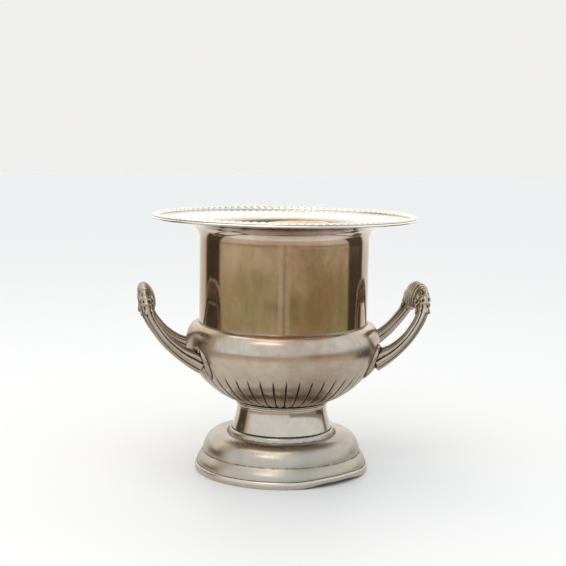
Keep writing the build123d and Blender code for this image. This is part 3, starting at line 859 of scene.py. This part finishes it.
def leg_leaf(side, vein):
    """The leaf that each leg ends in, lying on the bowl: a pointed oval with a raised edge and five veins,
    as high above the bowl as the product of its rises across and along."""
    across = np.linspace(-1, 1, 41)[None, :]
    down = np.linspace(0, 1, 49)[:, None]
    half_wide = 12.5 * MM * np.sqrt(np.clip(np.sin(pi * down ** 0.8), 0, 1)) + 0.2 * MM
    z = (124 - 33 * down) * MM - 3.5 * MM * np.abs(across) * (0.5 - down)
    radius = bowl_radius(z)
    angle = side * (np.arcsin(37.2 * MM / radius) + across * half_wide / radius)
    body = np.clip(1 - across**2, 0, 1) ** 0.5 * np.clip(np.sin(pi * down), 0, 1) ** 0.4
    rim = np.exp(-(((np.abs(across) - 0.84) / 0.12) ** 2)) * 0.9
    fan = np.abs(np.cos(2.5 * pi * across)) ** 0.7 - 0.5
    height = (3.6 * MM * body + 1.1 * MM * rim * np.clip(np.sin(pi * down), 0, 1) ** 0.3
              + vein * fan * body) + 0.15 * MM
    upper = np.stack([(radius + height) * np.cos(angle), (radius + height) * np.sin(angle), z], -1)
    lower = np.stack([(radius + 0.1 * MM) * np.cos(angle), (radius + 0.1 * MM) * np.sin(angle), z], -1)
    return np.concatenate([upper, lower[:, ::-1]], 1)


def cast(name, shells, pitch):
    """One casting from closed shells that overlap: they are fused on a fine grid, and what would reach
    into the bowl is pressed out to its surface."""
    raw = bpy.data.meshes.new(name + " raw")
    points, quads, start = [], [], 0
    for grid in shells:
        rows, columns = grid.shape[:2]
        index = start + np.arange(rows * columns).reshape(rows, columns)
        right = np.roll(index, -1, 1)
        cells = np.stack([index[:-1], right[:-1], right[1:], index[1:]], -1).reshape(-1, 4)
        flat = grid.reshape(-1, 3)
        corner = flat[cells - start]
        crossed = np.cross(corner[:, 2] - corner[:, 0], corner[:, 3] - corner[:, 1])
        if ((corner.mean(1) - flat.mean(0)) * crossed).sum() < 0:
            cells = cells[:, ::-1]
        points.append(flat)
        quads.append(cells)
        start += rows * columns
    raw.from_pydata(np.concatenate(points).tolist(), [], np.concatenate(quads).tolist())
    work = bmesh.new()
    work.from_mesh(raw)
    bmesh.ops.remove_doubles(work, verts=work.verts, dist=1e-7)
    work.to_mesh(raw)
    work.free()
    obj = bpy.data.objects.new(name + " raw", raw)
    bpy.context.scene.collection.objects.link(obj)
    fuse = obj.modifiers.new("fuse", "REMESH")
    fuse.mode = "VOXEL"
    fuse.voxel_size = pitch
    bpy.context.view_layer.update()
    mesh = bpy.data.meshes.new_from_object(obj.evaluated_get(bpy.context.evaluated_depsgraph_get()))
    bpy.data.objects.remove(obj)
    place = vertices(mesh)
    radius = np.hypot(place[:, 0], place[:, 1])
    wanted = np.maximum(radius, np.where(place[:, 2] < CREASE_Z, bowl_radius(place[:, 2]) + 0.08 * MM, 0))
    place[:, :2] *= (wanted / np.maximum(radius, MM))[:, None]
    return mesh, place


def vertices(mesh):
    flat = np.empty(len(mesh.vertices) * 3)
    mesh.vertices.foreach_get("co", flat)
    return flat.reshape(-1, 3)


def relief(mesh, place, rounds):
    """How far each point lies under (+) or over (-) the surface smoothed by averaging along edges."""
    ends = np.empty(len(mesh.edges) * 2, np.int64)
    mesh.edges.foreach_get("vertices", ends)
    a, b = ends.reshape(-1, 2).T
    count = np.maximum(np.bincount(np.concatenate([a, b]), minlength=len(place)), 1)[:, None]
    soft = place.copy()
    for _ in range(rounds):
        total = np.stack([
            np.bincount(a, soft[b, k], len(place)) + np.bincount(b, soft[a, k], len(place)) for k in range(3)
        ], -1)
        soft = 0.5 * soft + 0.5 * total / count
    normals = np.empty(len(place) * 3)
    mesh.vertices.foreach_get("normal", normals)
    return ((soft - place) * normals.reshape(-1, 3)).sum(1)


class BUCKET_OT_handles(bpy.types.Operator):
    """Two cast loop handles with leaf crowns"""

    bl_idname = "bucket.handles"
    bl_label = "Handles"

    def execute(self, context):
        sizes = context.scene.bucket_sizes
        loop, route = loop_tube(sizes.leg_ridge, sizes.leaf_vein)
        shells = [loop, leg_leaf(1, 0.55 * sizes.leaf_vein),
                  leg_leaf(-1, 0.55 * sizes.leaf_vein), *petals(route, 3.6 * MM)]
        mesh, place = cast("handle", shells, 0.42 * MM)
        mesh.vertices.foreach_set("co", place.ravel())
        mesh.update()
        depth = relief(mesh, place, 24)
        layer = mesh.attributes.new("oxide_and_shade", "FLOAT", "POINT")
        layer.data.foreach_set("value", smooth(depth / (0.24 * MM) + 0.1).astype(np.float32))
        mesh.shade_smooth()
        other = mesh.copy()
        other.vertices.foreach_set("co", (place * (-1, -1, 1)).ravel())
        other.update()
        material = plated("handle silver", film=0.9, gloss=0.22, bloom=0.3, dull=0.3)
        for name, data in {"handle_right": mesh, "handle_left": other}.items():
            data.name = name
            data.materials.clear()
            obj = bpy.data.objects.new(name, data)
            context.scene.collection.objects.link(obj)
            finish_piece(obj, material, "cast_silver", name)
        return {"FINISHED"}


# ---------------------------------------------------------------- stage
# Colours of the surroundings
ROOM_BROWN, ROOM_OLIVE = (0.58, 0.48, 0.30), (0.42, 0.40, 0.21)
ROOM_TOP, ROOM_LOW, FLOOR_FAR = (0.78, 0.64, 0.50), (0.70, 0.58, 0.44), (0.78, 0.66, 0.58)
RAIL, STILE, SLOT = (0.16, 0.14, 0.10), (0.80, 0.70, 0.62), (0.30, 0.24, 0.18)
DARK_SIDE, FURNITURE = (0.10, 0.085, 0.06), (0.24, 0.21, 0.15)
WINDOW, CEILING = (1.10, 1.24, 1.38), (0.42, 0.44, 0.38)
BACK_WALL, BACK_WALL_TOP = (0.98, 0.96, 0.93), (1.4, 1.38, 1.34)
SEEN_DIRECTLY = (0.875, 0.87, 0.86)


def stage_axes(stage):
    """Level unit directions from the bucket towards the camera and to the camera's right."""
    return (Vector((-sin(stage.turn), -cos(stage.turn), 0)), Vector((cos(stage.turn), -sin(stage.turn), 0)))


def sky(stage):
    """Surroundings that the silver mirrors: a pale wall behind, dark sides, a warm brown room in front with
    a rail and an upright, and a bright window over it. Seen directly, it is plain and pale."""
    world = bpy.data.worlds.new("studio")
    bpy.context.scene.world = world
    world.use_nodes = True
    shade = Shading(world.node_tree)
    ray = shade.node("ShaderNodeTexCoord", out="Generated")

    def along(direction):
        settings = {"operation": "DOT_PRODUCT"}
        return shade.node("ShaderNodeVectorMath", settings, ray, tuple(direction), out="Value")

    toward, right = stage_axes(stage)
    facing = along(toward)
    aside = along(right)
    up = along(Vector((0, 0, 1)))
    squeezed = shade.node("ShaderNodeMapping", None, ray, (0, 0, 0), (0, 0, 0), (1, 1, 9))
    drift = shade.noise(2.4, 4.0, 0.6, 0.6, squeezed)
    room = shade.blend(drift.step(0.40, 0.60), ROOM_BROWN, ROOM_OLIVE)
    off_upright = (aside - 0.01).absolute()
    in_front = (facing + aside * 0.3).step(-0.34, -0.16)
    rail = (up + 0.141).absolute().step(0.008, 0.003) * aside.step(-0.5, -0.4) * aside.step(0.98, 0.9)
    strip = up.step(-0.10, -0.08) * up.step(0.05, 0.0) * aside.step(0.25, 0.4)
    layers = [
        (up.step(-0.118, -0.092), ROOM_TOP),
        (up.step(-0.155, -0.175) * 0.8, ROOM_LOW),
        (rail * 0.6, RAIL),
        (off_upright.step(0.15, 0.12) * 0.55, STILE),
        (off_upright.step(0.05, 0.02) * 0.5, SLOT),
        (up.step(-0.19, -0.22), FLOOR_FAR),
        (facing.step(-0.07, -0.16) * up.step(0.45, 0.2), DARK_SIDE),
        (up.step(-0.075, -0.045) * in_front, WINDOW),
        (strip * in_front * 0.8, FURNITURE),
        (up.step(0.78, 0.92), CEILING),
        (facing.step(-0.60, -0.70), BACK_WALL),
        (facing.step(-0.2, -0.5) * up.step(0.08, 0.2), BACK_WALL_TOP),
    ]
    for share, tone in layers:
        room = shade.blend(share, room, tone)
    camera_ray = shade.node("ShaderNodeLightPath", out="Is Camera Ray")
    seen = shade.blend(camera_ray, room, SEEN_DIRECTLY)
    background = shade.node("ShaderNodeBackground", None, seen, 1.0)
    output = shade.tree.nodes.new("ShaderNodeOutputWorld")
    shade.tree.links.new(background.socket, output.inputs["Surface"])


def floor_sheet(stage):
    """A wide round floor, as rings of points from the middle outwards. The silver mirrors it only near the
    bucket; further out the floor lets mirrored rays through to the surroundings."""
    radii = np.concatenate([[0.0], np.geomspace(0.2, 9.0, 10)])
    outline = np.stack([radii, np.zeros_like(radii)], -1)
    obj = skin("floor", around(outline, turns(64)), True, False)
    material, shade = new_material("floor")
    tone = shade.noise(9, 3.0)
    base = shade.blend(tone * 0.25, stage.floor, tuple(c * 0.93 for c in stage.floor))
    from_middle = shade.node("ShaderNodeVectorMath", {"operation": "LENGTH"}, shade.place(), out="Value")
    away = from_middle.step(0.30, 0.42)
    mirrored = shade.node("ShaderNodeLightPath", out="Is Glossy Ray")
    close_material(shade, Base_Color=base, Roughness=0.55, Alpha=1.0 - away * mirrored)
    obj.data.materials.append(material)


def lamp(name, where, aim, size, power, tint):
    light = bpy.data.lights.new(name, "AREA")
    light.shape = "RECTANGLE"
    light.size, light.size_y = size
    light.energy = power
    light.color = tint
    obj = bpy.data.objects.new(name, light)
    obj.location = where
    obj.rotation_euler = (Vector(aim) - Vector(where)).to_track_quat("-Z", "Y").to_euler()
    bpy.context.scene.collection.objects.link(obj)


class BUCKET_OT_stage(bpy.types.Operator):
    """Floor, soft light and camera"""

    bl_idname = "bucket.stage"
    bl_label = "Stage"

    def execute(self, context):
        stage = context.scene.bucket_stage
        context.scene.view_settings.view_transform = "Standard"
        sky(stage)
        floor_sheet(stage)
        front, right = stage_axes(stage)
        middle = (0, 0, 0.12)
        overhead = front * 0.25 - right * 0.3 + Vector((0, 0, 1.5))
        window = front * 1.3 - right * 0.5 + Vector((0, 0, 1.25))
        lamp("overhead", overhead, middle, (1.5, 1.0), 8, (1, 0.93, 0.85))
        lamp("window", window, middle, (0.9, 0.3), 2, (1, 0.97, 0.93))

        camera = bpy.data.cameras.new("camera")
        camera.lens = stage.lens
        camera.sensor_width = 36
        eye = bpy.data.objects.new("camera", camera)
        eye.location = front * stage.distance - right * stage.offset + Vector((0, 0, stage.height))
        look = (-front * cos(stage.pitch) - Vector((0, 0, sin(stage.pitch)))).normalized()
        aim = look.to_track_quat("-Z", "Y").to_matrix()
        backwards = aim.col[2].copy()
        eye.rotation_euler = (Matrix.Rotation(stage.roll, 3, backwards) @ aim).to_euler()
        context.scene.collection.objects.link(eye)
        context.scene.camera = eye
        return {"FINISHED"}


class BUCKET_PT_panel(bpy.types.Panel):
    """The bucket's sizes, finishes and pieces"""

    bl_idname = "BUCKET_PT_panel"
    bl_label = "Champagne bucket"
    bl_space_type = "VIEW_3D"
    bl_region_type = "UI"
    bl_category = "Bucket"

    def draw(self, context):
        for group in GROUPS:
            settings = getattr(context.scene, group)
            for key in settings.__annotations__:
                self.layout.prop(settings, key)
        for operator in OPERATORS:
            self.layout.operator(operator.bl_idname)


GROUPS = {"bucket_sizes": BucketSizes, "bucket_finish": BucketFinish, "bucket_stage": BucketStage}
OPERATORS = [
    BUCKET_OT_well, BUCKET_OT_rim_border, BUCKET_OT_bowl, BUCKET_OT_collar, BUCKET_OT_foot, BUCKET_OT_fixings,
    BUCKET_OT_handles, BUCKET_OT_stage,
]


def register():
    for kind in (*GROUPS.values(), *OPERATORS, BUCKET_PT_panel):
        bpy.utils.register_class(kind)
    for name, kind in GROUPS.items():
        setattr(bpy.types.Scene, name, PointerProperty(type=kind))


def unregister():
    for name in GROUPS:
        delattr(bpy.types.Scene, name)
    for kind in (BUCKET_PT_panel, *reversed(OPERATORS), *reversed(GROUPS.values())):
        bpy.utils.unregister_class(kind)


def main():
    register()
    for operator in OPERATORS:
        group, name = operator.bl_idname.split(".")
        getattr(getattr(bpy.ops, group), name)()


if __name__ == "__main__":
    main()
